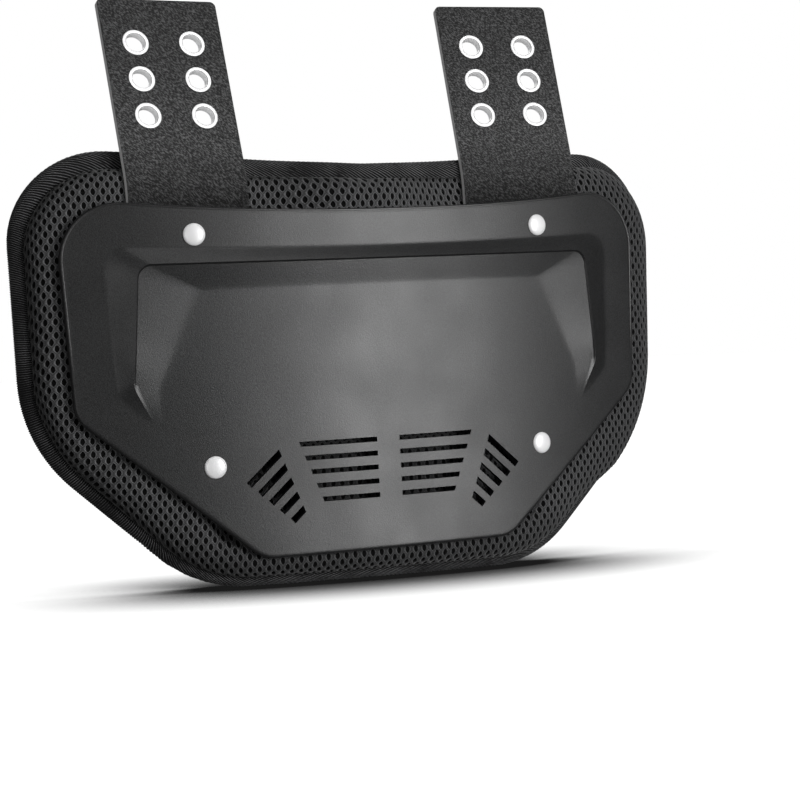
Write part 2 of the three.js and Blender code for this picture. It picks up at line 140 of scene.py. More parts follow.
def smooth_rows(rows, steps):
    """Rows of a section table with smooth Catmull-Rom steps put in between."""
    rows = np.array(rows, float)
    padded = np.concatenate([[2 * rows[0] - rows[1]], rows, [2 * rows[-1] - rows[-2]]])
    out = []
    for a, b, c, d in zip(padded, padded[1:], padded[2:], padded[3:]):
        for t in np.arange(steps) / steps:
            out.append(0.5 * (2 * b + (c - a) * t + (2 * a - 5 * b + 4 * c - d) * t ** 2
                              + (3 * b - a - 3 * c + d) * t ** 3))
    return np.array(out + [rows[-1]])


def loft_faces(loops, points, ends="points"):
    """Quads through equal loops from front to back; the ends close on points, meet in a ring or stay open."""
    here = np.arange(points)
    after = (here + 1) % points
    faces = []
    for s in range(loops if ends == "ring" else loops - 1):
        a, b = s * points, ((s + 1) % loops) * points
        faces += np.stack([a + here, a + after, b + after, b + here], 1).tolist()
    if ends == "points":
        first, last, end = loops * points, loops * points + 1, (loops - 1) * points
        faces += np.stack([np.full(points, first), after, here], 1).tolist()
        faces += np.stack([end + here, end + after, np.full(points, last)], 1).tolist()
    return faces


def new_mesh(name, millimetres, faces=(), smooth=False):
    mesh = bpy.data.meshes.new(name)
    mesh.from_pydata((np.asarray(millimetres) * MM).tolist(), [], faces)
    mesh.polygons.foreach_set("use_smooth", [smooth] * len(mesh.polygons))
    return mesh


def add_object(name, data):
    thing = bpy.data.objects.new(name, data)
    bpy.context.collection.objects.link(thing)
    return thing


def add_piece(name, millimetres, faces, smooth=True):
    """A mesh object at the origin, from points about the plate's middle in millimetres."""
    return add_object(name, new_mesh(name, np.asarray(millimetres) + PLATE_CENTRE, faces, smooth))


def smoothstep(low, high, value):
    t = np.clip((value - low) / (high - low), 0, 1)
    return t * t * (3 - 2 * t)


def strap_route(along):
    """Lean of a strap, and the depth and height of its middle line, at a distance along it from the tail."""
    bend, straight = STRAP["bend_radius"], STRAP["bend_z"] - STRAP["tail_z"]
    lean = np.clip((along - straight) / bend, 0, STRAP["lean"])
    beyond = np.clip(along - straight - STRAP["lean"] * bend, 0, None)
    depth = bend * (1 - np.cos(lean)) + beyond * np.sin(lean)
    height = STRAP["tail_z"] + np.minimum(along, straight) + bend * np.sin(lean) + beyond * np.cos(lean)
    return lean, depth, height


def strap_pivot(sign, along):
    """Turn of a strap about Z and the line it turns on: square to the plate's bow, then a little inward."""
    seat_turn = math.asin(sign * STRAP["x"] / BOW_RADIUS)
    twist = (seat_turn + sign * STRAP["inward"]) * smoothstep(STRAP["twist_start"], STRAP["twist_end"], along)
    aside, depth = sign * STRAP["twist_pivot"] * STRAP["width"] / 2, STRAP["front_depth"]
    line = np.array([sign * STRAP["x"] + aside * math.cos(seat_turn) - depth * math.sin(seat_turn),
                     float(bow(STRAP["x"])) + aside * math.sin(seat_turn) + depth * math.cos(seat_turn)])
    return seat_turn - twist, line, aside


def pressed_by_straps(points, slack):
    """Points moved back to clear the straps by a slack where they lie on them, easing out beside them."""
    points = points.copy()
    route = np.linspace(0, STRAP["length"], 300)
    heights = strap_route(route)[2]
    reach = STRAP["width"] / 2 + PRESS["beside"]
    for sign in (-1, 1):
        along = np.interp(points[:, 2], heights, route)
        turn, line, aside = strap_pivot(sign, along)
        lean, depth, _ = strap_route(along)
        x, y = points[:, 0] - line[0], points[:, 1] - line[1]
        across = np.abs(x * np.cos(turn) + y * np.sin(turn) + aside)
        behind = -x * np.sin(turn) + y * np.cos(turn)
        clear = depth + STRAP["thickness"] / np.cos(lean) + slack
        # Nothing has to clear the straps below their tails.
        clear -= 40 * smoothstep(STRAP["tail_z"] - 1, STRAP["tail_z"] - 6, points[:, 2])
        beside = smoothstep(reach, reach + PRESS["ease"], across)
        push = np.clip(clear - behind, 0, PRESS["limit"]) * (1 - beside)
        points[:, 0] -= push * np.sin(turn)
        points[:, 1] += push * np.cos(turn)
    return points


def askew(loop):
    return loop + np.stack([PAD_SKEW * loop[:, 1] + PAD_ASIDE, -PAD_SKEW * loop[:, 0]], 1)


plate_loop = outline_loop(*OUTLINES["plate"])
binding_inner, binding_outer = (
    askew(outline_loop(*OUTLINES[name])) for name in ("binding_inner", "binding_outer"))
loop_points = len(plate_loop)
outward = binding_inner - plate_loop
outward *= 1 + RIGHT_SWELL * smoothstep(70, 130, plate_loop[:, :1])
outward_unit = outward / np.linalg.norm(outward, axis=1)[:, None]


def pad_loop(across, depth):
    return on_bow(plate_loop + outward * across, depth)


rim_rows = smooth_rows(PAD_RIM, 3)
front_fill = [on_bow(shrunk(plate_loop, share), PAD_RIM[0][1]) for share in FILL_SHARES[::-1]]
rim = [pad_loop(*row) for row in rim_rows]
neck = [pad_loop(*row) for row in PAD_NECK]
back_rim = [pad_loop(*row) for row in smooth_rows(PAD_BACK, 2)]
back_fill = [on_bow(shrunk(plate_loop, share), PAD_BACK[-1][1]) for share in FILL_SHARES]
pad_loops = front_fill + rim + neck + back_rim + back_fill
pad_points = np.concatenate(
    pad_loops + [[[0, PAD_RIM[0][1], FILL_CENTRE_Z]], [[0, PAD_BACK[-1][1], FILL_CENTRE_Z]]])


def unrolled(x, z):
    return np.stack([BOW_RADIUS * np.arcsin(x / BOW_RADIUS), z], 1)


# The cover is cut from flat cloth, so each point keeps where it lay on the flat: over the face the arc
# across the bow and the height, and over the rim the run of the profile out from the plate's edge.
flat = np.zeros((len(pad_points), 2))
flat_edge = unrolled(*plate_loop.T)
flat_loops = flat[:-2].reshape(len(pad_loops), loop_points, 2)     # the same values, loop by loop
flat_loops[:] = [unrolled(loop[:, 0], loop[:, 2]) for loop in pad_loops]
rim_start, neck_start = len(front_fill), len(front_fill) + len(rim)
back_start = neck_start + len(neck)
back_face_start = back_start + len(back_rim)
for order in (range(rim_start, neck_start), range(back_face_start - 1, back_start - 1, -1)):
    run, before = np.zeros(loop_points), pad_loops[order[0]]
    for index in order:
        run = run + np.linalg.norm(pad_loops[index] - before, axis=1)
        before = pad_loops[index]
        flat_loops[index] = flat_edge + outward_unit * run[:, None]
flat[-2:] = [0, FILL_CENTRE_Z]
pulled = smoothstep(10, 50, flat[:, 0]) * smoothstep(45, 58, flat[:, 1])
flat[:, 0] += CLOTH_PULL * (flat[:, 1] - 62) * pulled
flat[back_start * loop_points:-2, 0] += BACK_CLOTH_SHIFT
flat[-1, 0] += BACK_CLOTH_SHIFT

# Cloth is only worked where it can be seen: on the rim, behind the vents and all over the back.
edge_share = np.concatenate([np.full(loop_points, share) for share in FILL_SHARES[::-1]])
cover = np.ones(len(pad_points))
face_points = pad_points[:len(edge_share)]
behind_vents = (np.abs(face_points[:, 0]) < VENT_COVER["side"]) & (face_points[:, 2] < VENT_COVER["top"])
behind_vents &= face_points[:, 2] > VENT_COVER["foot"]
cover[:len(edge_share)] = np.where(behind_vents | (edge_share > 0.93), 1.0, 0.0)
cover[-2] = 0.0

front_count, pressed_count = neck_start * loop_points, back_start * loop_points
pad_points[:pressed_count] = pressed_by_straps(pad_points[:pressed_count], PRESS["slack"])
front_x, front_z = pad_points[:front_count, 0].copy(), pad_points[:front_count, 2].copy()
vent_hollow = smoothstep(*VENT_FADE["side"], np.abs(front_x))
vent_hollow *= smoothstep(*VENT_FADE["top"], front_z) * smoothstep(*VENT_FADE["foot"], front_z)
pad_points[:front_count, 1] += VENT_HOLLOW * vent_hollow
pad_core = add_piece("pad_core", pad_points, loft_faces(len(pad_loops), loop_points))
flat_map = pad_core.data.uv_layers.new(name="flat_cloth")
corner_points = np.empty(len(pad_core.data.loops), np.int32)
pad_core.data.loops.foreach_get("vertex_index", corner_points)
flat_corners = flat[corner_points] * MM
flat_corners[4 * loop_points * (neck_start - 1):4 * loop_points * back_start] = -0.5   # no cloth on the neck
flat_map.data.foreach_set("uv", flat_corners.ravel())
tuck = np.zeros(len(pad_points))     # painted shade on the cloth: 0 on the open face, 1 where the cloth goes under the binding
tuck[rim_start * loop_points:front_count] = np.repeat(smoothstep(6.0, 12.5, rim_rows[:, 1]), loop_points)
# Painted shade also darkens the cloth behind the vents, towards the right end and at the foot.
for shaded in (0.7 * vent_hollow, 0.45 * smoothstep(60, 140, front_x), 0.5 * smoothstep(-68, -90, front_z)):
    tuck[:front_count] = np.maximum(tuck[:front_count], shaded)


def mark_points(mesh, name, values):
    mesh.attributes.new(name, "FLOAT", "POINT").data.foreach_set("value", values)


mark_points(pad_core.data, "cover", cover)
mark_points(pad_core.data, "tuck", tuck)


def set_inputs(tree, node, values):
    """Links a node's inputs from sockets, or sets them to plain values."""
    for key, value in values.items():
        if isinstance(value, bpy.types.NodeSocket):
            tree.links.new(value, node.inputs[key])
        else:
            node.inputs[key].default_value = value


def add_node(tree, kind, inputs=None, **settings):
    node = tree.nodes.new(kind)
    for key, value in settings.items():
        setattr(node, key, value)
    set_inputs(tree, node, inputs or {})
    return node


def calc(tree, operation, *values):
    return add_node(tree, "ShaderNodeMath", dict(enumerate(values)), operation=operation).outputs[0]


def ramp(tree, source, *stops):
    """The colour that a value gives on a ramp of (position, grey or colour) stops."""
    node = add_node(tree, "ShaderNodeValToRGB", {"Fac": source})
    while len(node.color_ramp.elements) < len(stops):
        node.color_ramp.elements.new(0.5)
    for element, (position, colour) in zip(node.color_ramp.elements, stops):
        element.position = position
        element.color = (*colour, 1) if isinstance(colour, tuple) else (colour, colour, colour, 1)
    return node.outputs["Color"]


def tree_socket(tree, name, kind, default=None, output=False):
    socket = tree.interface.new_socket(
        name=name, in_out="OUTPUT" if output else "INPUT", socket_type="NodeSocket" + kind)
    if default is not None:
        socket.default_value = default
    return socket.identifier


def surface_texture():
    """Shader group for a fine random surface: a mottle for colour and roughness, and a height for bump."""
    group = bpy.data.node_groups.new("fine_surface", "ShaderNodeTree")
    for name, default in (("Grain size", 0.0006), ("Patch size", 0.03)):
        tree_socket(group, name, "Float", default)
    for name in ("Speckle", "Patches", "Height"):
        tree_socket(group, name, "Float", output=True)
    given, result = group.nodes.new("NodeGroupInput").outputs, group.nodes.new("NodeGroupOutput")
    place = add_node(group, "ShaderNodeTexCoord").outputs["Object"]
    for size, detail, outputs in (
            ("Grain size", 2.0, ("Speckle", "Height")), ("Patch size", 3.0, ("Patches",))):
        scale = calc(group, "DIVIDE", 1.0, given[size])
        noise = add_node(group, "ShaderNodeTexNoise", {"Detail": detail, "Scale": scale, "Vector": place})
        for output in outputs:
            group.links.new(noise.outputs["Fac"], result.inputs[output])
    return group


fine_surface = surface_texture()


def new_material(name):
    material = bpy.data.materials.new(name)
    material.use_nodes = True
    return material, material.node_tree


def add_texture(tree, grain, patch):
    sizes = {"Grain size": grain, "Patch size": patch}
    return add_node(tree, "ShaderNodeGroup", sizes, node_tree=fine_surface).outputs


def bumped(tree, height, strength, distance):
    inputs = {"Height": height, "Strength": strength, "Distance": distance}
    return add_node(tree, "ShaderNodeBump", inputs).outputs["Normal"]


def set_shader(tree, values):
    set_inputs(tree, tree.nodes["Principled BSDF"], values)


foam_black, tree = new_material("pad_foam_black")
texture = add_texture(tree, 0.0008, 0.02)
set_shader(tree, {
    "Base Color": ramp(tree, texture["Speckle"], (0.3, 0.0025), (0.75, 0.006)),
    "Roughness": 1.0, "Specular IOR Level": 0.1,
    "Normal": bumped(tree, texture["Height"], 0.4, 0.0003)})
pad_core.data.materials.append(foam_black)

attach(pad_core, "root")
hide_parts("pad")


# Spacer mesh cover
# A warp-knitted polyester mesh, drawn tight over the foam front and back and caught under the binding.
# Flat strands part round upright oval holes that stand in staggered rows.
KNIT = dict(pitch=3.9, row=2.68, hole_width=1.7, hole_height=2.95, point=1.2, thickness=0.6)
CLOTH_LOWER, CLOTH_WELD, CLOTH_WANDER = -0.008, 0.00002, 320.0     # metres, and noise cells to the metre


def knit_cell(name, sides, bands):
    """One six-sided cell of flat cloth with an oval hole; its height is the strand's height over the foam."""
    pitch, row = KNIT["pitch"] / 2, KNIT["row"]
    reach = (pitch ** 2 + row ** 2) / 2
    shoulder, tip = (reach - pitch ** 2) / row, reach / row
    corners = np.array([[pitch, -shoulder], [pitch, shoulder], [0, tip],
                        [-pitch, shoulder], [-pitch, -shoulder], [0, -tip]])
    split = sides // 6
    border = np.concatenate([a + (b - a) * np.arange(split)[:, None] / split
                             for a, b in zip(corners, np.roll(corners, -1, 0))])
    angles = np.arctan2(border[:, 1] / KNIT["hole_height"], border[:, 0] / KNIT["hole_width"])
    turn = on_circle(angles)
    oval = np.sign(turn) * np.abs(turn) ** KNIT["point"] * [KNIT["hole_width"] / 2, KNIT["hole_height"] / 2]
    rings = []
    for grow, height in bands:
        ring = border if grow is None else oval * grow
        rings.append(np.column_stack([ring, np.full(sides, height * KNIT["thickness"])]))
    faces = loft_faces(len(rings), sides, ends="open")
    return bpy.data.objects.new(name, new_mesh(name, np.concatenate(rings), faces))


def start_tree(title, *sockets):
    """A geometry node tree with (name, kind, default) inputs, their identifiers and what they are given."""
    tree = bpy.data.node_groups.new(title, "GeometryNodeTree")
    ids = {name: tree_socket(tree, name, kind, default)
           for name, kind, default in (("Geometry", "Geometry", None), *sockets)}
    tree_socket(tree, "Geometry", "Geometry", output=True)
    return tree, ids, tree.nodes.new("NodeGroupInput").outputs


def geometry_node(tree, kind, shape, inputs=None, **settings):
    """What a node makes of a shape."""
    given = {"Geometry": shape, **(inputs or {})}
    return add_node(tree, "GeometryNode" + kind, given, **settings).outputs["Geometry"]


def end_tree(tree, shape, finish):
    """Gives the shape that a tree has made its material, and puts it out."""
    finished = geometry_node(tree, "SetMaterial", shape, {"Material": finish})
    tree.links.new(finished, tree.nodes.new("NodeGroupOutput").inputs[0])


def read_mark(tree, name, data_type="FLOAT"):
    node = add_node(tree, "GeometryNodeInputNamedAttribute", {"Name": name}, data_type=data_type)
    return node.outputs["Attribute"]


def write_mark(tree, shape, name, value, data_type="FLOAT"):
    return geometry_node(tree, "StoreNamedAttribute", shape, {"Name": name, "Value": value},
                         data_type=data_type, domain="POINT")


def shape_of(tree, thing):
    return add_node(tree, "GeometryNodeObjectInfo", {"Object": thing}).outputs["Geometry"]


def vector_calc(tree, operation, vector, other):
    inputs = {0: vector, "Scale" if operation == "SCALE" else 1: other}
    return add_node(tree, "ShaderNodeVectorMath", inputs, operation=operation).outputs[0]


def wrapping_tree():
    """Lays staggered rows of knitted cells on flat cloth, then wraps every point round the pad."""
    tree, ids, given = start_tree(
        "wrap_knit", ("Cell", "Object", None), ("Pad", "Object", None), ("Finish", "Material", None),
        ("Columns", "Int", 84), ("Rows", "Int", 82), ("Pitch", "Float", 0.0039),
        ("Row pitch", "Float", 0.00268), ("Cloth middle", "Float", 0.0), ("Unevenness", "Float", 0.0001),
        ("Seed", "Float", 3.0))

    grid = add_node(tree, "GeometryNodeMeshGrid", {
        "Size X": calc(tree, "MULTIPLY", calc(tree, "SUBTRACT", given["Columns"], 1.0), given["Pitch"]),
        "Size Y": calc(tree, "MULTIPLY", calc(tree, "SUBTRACT", given["Rows"], 1.0), given["Row pitch"]),
        "Vertices X": given["Columns"], "Vertices Y": given["Rows"]})
    index = add_node(tree, "GeometryNodeInputIndex").outputs[0]
    odd_row = calc(tree, "MODULO", calc(tree, "FLOORED_MODULO", index, given["Rows"]), 2.0)
    stagger = calc(tree, "MULTIPLY", odd_row, calc(tree, "MULTIPLY", given["Pitch"], 0.5))
    shift = add_node(tree, "ShaderNodeCombineXYZ", {
        "X": calc(tree, "ADD", stagger, given["Cloth middle"]), "Y": CLOTH_LOWER})
    staggered = geometry_node(tree, "SetPosition", grid.outputs["Mesh"], {"Offset": shift.outputs[0]})

    pad = shape_of(tree, given["Pad"])
    flat_cloth = read_mark(tree, "flat_cloth", "FLOAT_VECTOR")
    place = add_node(tree, "GeometryNodeInputPosition").outputs[0]

    def sampled(value, data_type, at):
        return add_node(tree, "GeometryNodeSampleUVSurface", {
            "Mesh": pad, "Value": value, "UV Map": flat_cloth, "Sample UV": at}, data_type=data_type).outputs

    here = sampled(read_mark(tree, "cover"), "FLOAT", place)
    unwanted = calc(tree, "LESS_THAN", calc(tree, "MULTIPLY", here["Value"], here["Is Valid"]), 0.5)
    seen = geometry_node(tree, "DeleteGeometry", staggered, {"Selection": unwanted}, domain="POINT")
    placed = add_node(tree, "GeometryNodeInstanceOnPoints", {
        "Points": seen, "Instance": shape_of(tree, given["Cell"])}).outputs["Instances"]
    real = geometry_node(tree, "RealizeInstances", placed)
    joined = geometry_node(tree, "MergeByDistance", real, {"Distance": CLOTH_WELD})

    noise = add_node(tree, "ShaderNodeTexNoise", {"Vector": place, "W": given["Seed"], "Scale": CLOTH_WANDER},
                     noise_dimensions="4D")
    centred = vector_calc(tree, "SUBTRACT", noise.outputs["Color"], (0.5, 0.5, 0.5))
    loosened = vector_calc(tree, "ADD", place, vector_calc(tree, "SCALE", centred, given["Unevenness"]))
    spot = sampled(place, "FLOAT_VECTOR", loosened)
    out = sampled(add_node(tree, "GeometryNodeInputNormal").outputs[0], "FLOAT_VECTOR", loosened)
    height = add_node(tree, "ShaderNodeSeparateXYZ", {0: place}).outputs["Z"]
    wrapped_place = vector_calc(tree, "ADD", spot["Value"], vector_calc(tree, "SCALE", out["Value"], height))
    off_cloth = add_node(tree, "FunctionNodeBooleanMath", {0: spot["Is Valid"]}, operation="NOT").outputs[0]
    marked = write_mark(tree, joined, "strand", height)
    # The cloth takes the pad's painted shade along with it.
    marked = write_mark(tree, marked, "tuck", sampled(read_mark(tree, "tuck"), "FLOAT", loosened)["Value"])
    marked = write_mark(tree, marked, "off_cloth", off_cloth, "BOOLEAN")
    wrapped = geometry_node(tree, "SetPosition", marked, {"Position": wrapped_place})
    unheld = read_mark(tree, "off_cloth", "BOOLEAN")
    kept = geometry_node(tree, "DeleteGeometry", wrapped, {"Selection": unheld}, domain="POINT")
    end_tree(tree, geometry_node(tree, "SetShadeSmooth", kept), given["Finish"])
    return tree, ids


def bake_modifiers(piece):
    """Makes what a piece's modifiers give into its own mesh."""
    made = bpy.data.meshes.new_from_object(piece.evaluated_get(bpy.context.evaluated_depsgraph_get()))
    piece.modifiers.clear()
    piece.data = made


def grown(name, tree, ids, values, mesh=None):
    """An object whose mesh is what a geometry node tree makes from the given values."""
    piece = add_object(name, mesh or bpy.data.meshes.new(name))
    modifier = piece.modifiers.new("grow", "NODES")
    modifier.node_group = tree
    for key, value in values.items():
        modifier[ids[key]] = value
    bake_modifiers(piece)
    piece.data.name = name
    return piece


def shader_mark(tree, name):
    return add_node(tree, "ShaderNodeAttribute", attribute_name=name).outputs["Fac"]


def multiplied(tree, first, second):
    """Two colours multiplied together."""
    mix = add_node(tree, "ShaderNodeMix", data_type="RGBA", blend_type="MULTIPLY")
    set_inputs(tree, mix, {"Factor": 1.0, "A": first, "B": second})
    return mix.outputs["Result"]


knit_grey, tree = new_material("spacer_mesh_grey")
texture = add_texture(tree, 0.00035, 0.012)
# Painted highlight along the raised strand tops and painted shade down into the holes: the colour follows the
# strand's height.
raised_by = add_node(tree, "ShaderNodeMapRange", {
    "Value": shader_mark(tree, "strand"), "From Min": -0.1 * MM, "From Max": KNIT["thickness"] * MM})
painted_strand_light = ramp(tree, raised_by.outputs["Result"], (0.3, 0.03), (0.72, 0.22), (0.84, 0.4), (1.0, 1.0))
yarn = ramp(tree, texture["Speckle"], (0.25, (0.075, 0.076, 0.079)), (0.8, (0.235, 0.237, 0.242)))
# Painted shade: the yarn's colour darkens where the cloth runs under the binding, behind the vents, towards
# the right end and at the foot.
painted_cloth_shade_tone = ramp(tree, shader_mark(tree, "tuck"), (0.0, 1.0), (0.55, 0.6), (0.95, 0.12))
set_shader(tree, {
    "Base Color": multiplied(tree, multiplied(tree, yarn, painted_strand_light), painted_cloth_shade_tone),
    "Roughness": 0.75, "Specular IOR Level": 0.3, "Sheen Weight": 0.15, "Sheen Roughness": 0.5,
    "Normal": bumped(tree, texture["Height"], 0.6, 0.0003)})

wrap_knit, wrap_ids = wrapping_tree()
front_cell = knit_cell("knit_cell_front", 12, [(None, 0.66), (1.2, 1.0), (1.0, 0.3), (0.96, -0.9)])
back_cell = knit_cell("knit_cell_back", 6, [(None, 0.9), (1.1, 0.8), (0.98, -0.9)])
for name, cell, middle in (
        ("mesh_cover_front", front_cell, 0.0), ("mesh_cover_back", back_cell, BACK_CLOTH_SHIFT)):
    cover_piece = grown(name, wrap_knit, wrap_ids, {
        "Cell": cell, "Pad": pad_core, "Finish": knit_grey, "Columns": 84, "Rows": 82,
        "Pitch": KNIT["pitch"] * MM, "Row pitch": KNIT["row"] * MM, "Cloth middle": middle * MM,
        "Unevenness": 0.00012, "Seed": 3.0})
    bpy.data.objects.remove(cell)
    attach(cover_piece, "root")


# Edge binding
# A ribbed knitted tape folded over the rim of foam and mesh and sewn down all round. Its ribs slant over the
# top and the foot and lie level up the side, and the tape gathers a little where it goes round the corners.
BINDING_SECTION = [   # across: 0 at the inner edge, 1 at the outer edge; depth behind the plate's face
    (0.02, 16.4), (0.04, 15.1), (0.14, 14.2), (0.30, 13.8), (0.48, 13.8), (0.66, 14.3), (0.82, 15.2),
    (0.94, 16.5), (1.00, 18.3), (0.97, 20.0), (0.87, 21.4), (0.68, 22.5), (0.45, 23.0), (0.20, 22.8),
    (0.05, 22.0), (0.02, 20.8),
]
FRONT_ROW = 4     # the row in the middle of the tape's front, from which a rib's slant counts
BINDING_WIDTH = 7.5
BINDING_STEPS = 4000
RIB = dict(pitch=0.95, height=0.19, slant=1.8, reach=9.0)     # slant: run along the tape per step across it
RIB_WANDER, GATHER_STRAY = 160.0, 0.006     # noise cells to the metre, and metres along the tape


def read_loop(loop, run, at):
    """A closed loop read at distances along it."""
    closed = np.concatenate([loop, loop[:1]])
    return np.stack([np.interp(at % run[-1], run, closed[:, i]) for i in range(2)], 1)


tape_steps = np.linalg.norm(np.diff(np.concatenate([binding_outer, binding_outer[:1]]), axis=0), axis=1)
tape_run = np.concatenate([[0], np.cumsum(tape_steps)])
at = np.arange(BINDING_STEPS) * tape_run[-1] / BINDING_STEPS
tape = read_loop(binding_outer, tape_run, at)
tape_x, tape_z = tape.T
heading_x, heading_z = (np.roll(tape, -1, 0) - np.roll(tape, 1, 0)).T
# A rib up the left side lies level, so its slant follows the way that the tape heads there.
level = heading_x / np.maximum(heading_z, heading_x / RIB["slant"] + 1e-9)
level = np.where((heading_z > 0) & (heading_x > 0), level, 0)
level = np.where((tape_z > 0) & (tape_x > -110), RIB["slant"], level)
foot_slant = RIB["slant"] * smoothstep(-104, -84, tape_x)
rib_slant = np.where(tape_z > 0, level, foot_slant) * smoothstep(140, 112, tape_x)
evened = 40     # steps on each side over which a change of slant is evened out
rib_slant = np.concatenate([rib_slant[-evened:], rib_slant, rib_slant[:evened]])
rib_slant = np.convolve(rib_slant, np.ones(2 * evened + 1) / (2 * evened + 1), "valid")
rib_turns = np.cumsum(1 / np.sqrt(1 + rib_slant ** 2))
rib_turns *= round(tape_run[-1] / BINDING_STEPS * rib_turns[-1] / RIB["pitch"]) / rib_turns[-1]
bunched = np.exp(-np.square((tape_x + 92) / 9)) * (tape_z < 0)     # bunched up where the slant turns

section = np.array(BINDING_SECTION) * [BINDING_WIDTH, 1]
section_run = np.concatenate([[0], np.cumsum(np.linalg.norm(np.diff(section, axis=0), axis=1))])
section_run = np.clip(section_run - section_run[FRONT_ROW], -RIB["reach"], RIB["reach"])
tape_loops = []
for (across, depth), off in zip(BINDING_SECTION, section_run):
    reading = at - rib_slant * off
    inner, outer = (read_loop(loop, tape_run, reading) for loop in (binding_inner, binding_outer))
    slack = 0.2 + 0.2 * (depth - BINDING_SECTION[FRONT_ROW][1])
    tape_loops.append(pressed_by_straps(on_bow(inner + (outer - inner) * across, depth), slack))
binding_base = add_piece("binding_base", np.concatenate(tape_loops),
                         loft_faces(len(tape_loops), BINDING_STEPS, ends="ring"))
for name, values in (("turns", rib_turns), ("run", at * MM), ("gather", bunched)):
    mark_points(binding_base.data, name, np.tile(values, len(tape_loops)))


def ribbing_tree():
    """Raises ribs on a tape by their turns along it, with soft gathers where it is bunched up."""
    tree, ids, given = start_tree(
        "rib_tape", ("Finish", "Material", None), ("Rib height", "Float", 0.0001), ("Wander", "Float", 0.5),
        ("Gather pitch", "Float", 0.005), ("Gather height", "Float", 0.0004), ("Seed", "Float", 1.0))
    marks = {name: read_mark(tree, name) for name in ("turns", "run", "gather")}
    place = add_node(tree, "GeometryNodeInputPosition").outputs[0]
    noise = add_node(tree, "ShaderNodeTexNoise", {"Vector": place, "W": given["Seed"], "Scale": RIB_WANDER},
                     noise_dimensions="4D").outputs["Fac"]
    stray = calc(tree, "SUBTRACT", noise, 0.5)

    def wave(turns):
        return calc(tree, "SINE", calc(tree, "MULTIPLY", turns, 2 * math.pi))

    rib = wave(calc(tree, "ADD", marks["turns"], calc(tree, "MULTIPLY", stray, given["Wander"])))
    slack = calc(tree, "ADD", marks["run"], calc(tree, "MULTIPLY", stray, GATHER_STRAY))
    pucker = calc(tree, "MULTIPLY", wave(calc(tree, "DIVIDE", slack, given["Gather pitch"])), marks["gather"])
    lift = calc(tree, "ADD", calc(tree, "MULTIPLY", rib, given["Rib height"]),
                calc(tree, "MULTIPLY", pucker, given["Gather height"]))
    normal = add_node(tree, "GeometryNodeInputNormal").outputs[0]
    offset = vector_calc(tree, "SCALE", normal, lift)
    marked = write_mark(tree, given["Geometry"], "rib", rib)
    moved = geometry_node(tree, "SetPosition", marked, {"Offset": offset})
    end_tree(tree, geometry_node(tree, "RealizeInstances", moved), given["Finish"])
    return tree, ids


tape_black, tree = new_material("binding_tape_black")
texture = add_texture(tree, 0.0004, 0.02)
worn = calc(tree, "MULTIPLY_ADD", texture["Patches"], 0.9, -0.45)
# Painted highlight on the rib crests and painted shade in the grooves between them, with random worn patches
# mixed in.
rib_light_and_wear = calc(tree, "ADD", shader_mark(tree, "rib"), worn)
set_shader(tree, {
    "Base Color": ramp(tree, rib_light_and_wear, (0.0, (0.003, 0.003, 0.0032)), (0.5, (0.006, 0.006, 0.0065)),
                       (1.0, (0.17, 0.17, 0.174))),
    "Roughness": 0.8, "Specular IOR Level": 0.25, "Sheen Weight": 0.12, "Sheen Roughness": 0.4,
    "Normal": bumped(tree, texture["Height"], 0.7, 0.0003)})

rib_tape, rib_ids = ribbing_tree()
binding = grown("edge_binding", rib_tape, rib_ids, {
    "Finish": tape_black, "Rib height": RIB["height"] * MM, "Wander": 0.9, "Gather pitch": 0.0062,
    "Gather height": 0.0001, "Seed": 1.0}, mesh=binding_base.data)
bpy.data.objects.remove(binding_base)
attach(binding, "root")
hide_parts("binding")


# Strap ends
# Two lengths of coated leather, 3 mm thick and cut square with the corners just taken off. The pebbled face
# is black and the cut edges show the grey core. Their tails are riveted behind the plate.
EYELET = dict(barrel=4.5, column=24.6, row=16.3, rows=3, top_row=19.8)
CUT = dict(grid=1.5, clear=0.8, hole_gap=0.3, hole_sides=40, corner_steps=8, side_steps=78, tail_steps=33)
ROUNDING, ROUNDED_WIDTH = 0.2, 1.2     # how far the leather's faces fall away at a cut edge


def strap_point(sign, along, across, behind):
    """Points of a strap from the distances along it, across it and behind its front face."""
    lean, depth, height = strap_route(along)
    turn, line, aside = strap_pivot(sign, along)
    x, y = across - aside, depth + behind * np.cos(lean)
    return np.stack([line[0] + x * np.cos(turn) - y * np.sin(turn),
                     line[1] + x * np.sin(turn) + y * np.cos(turn), height - behind * np.sin(lean)], -1)


def nearest(points, others):
    return np.min(np.linalg.norm(points[:, None] - others[None], axis=2), axis=1)


eyelet_seats = [(STRAP["length"] - EYELET["top_row"] - row * EYELET["row"], column * EYELET["column"] / 2)
                for row in range(EYELET["rows"]) for column in (-1, 1)]


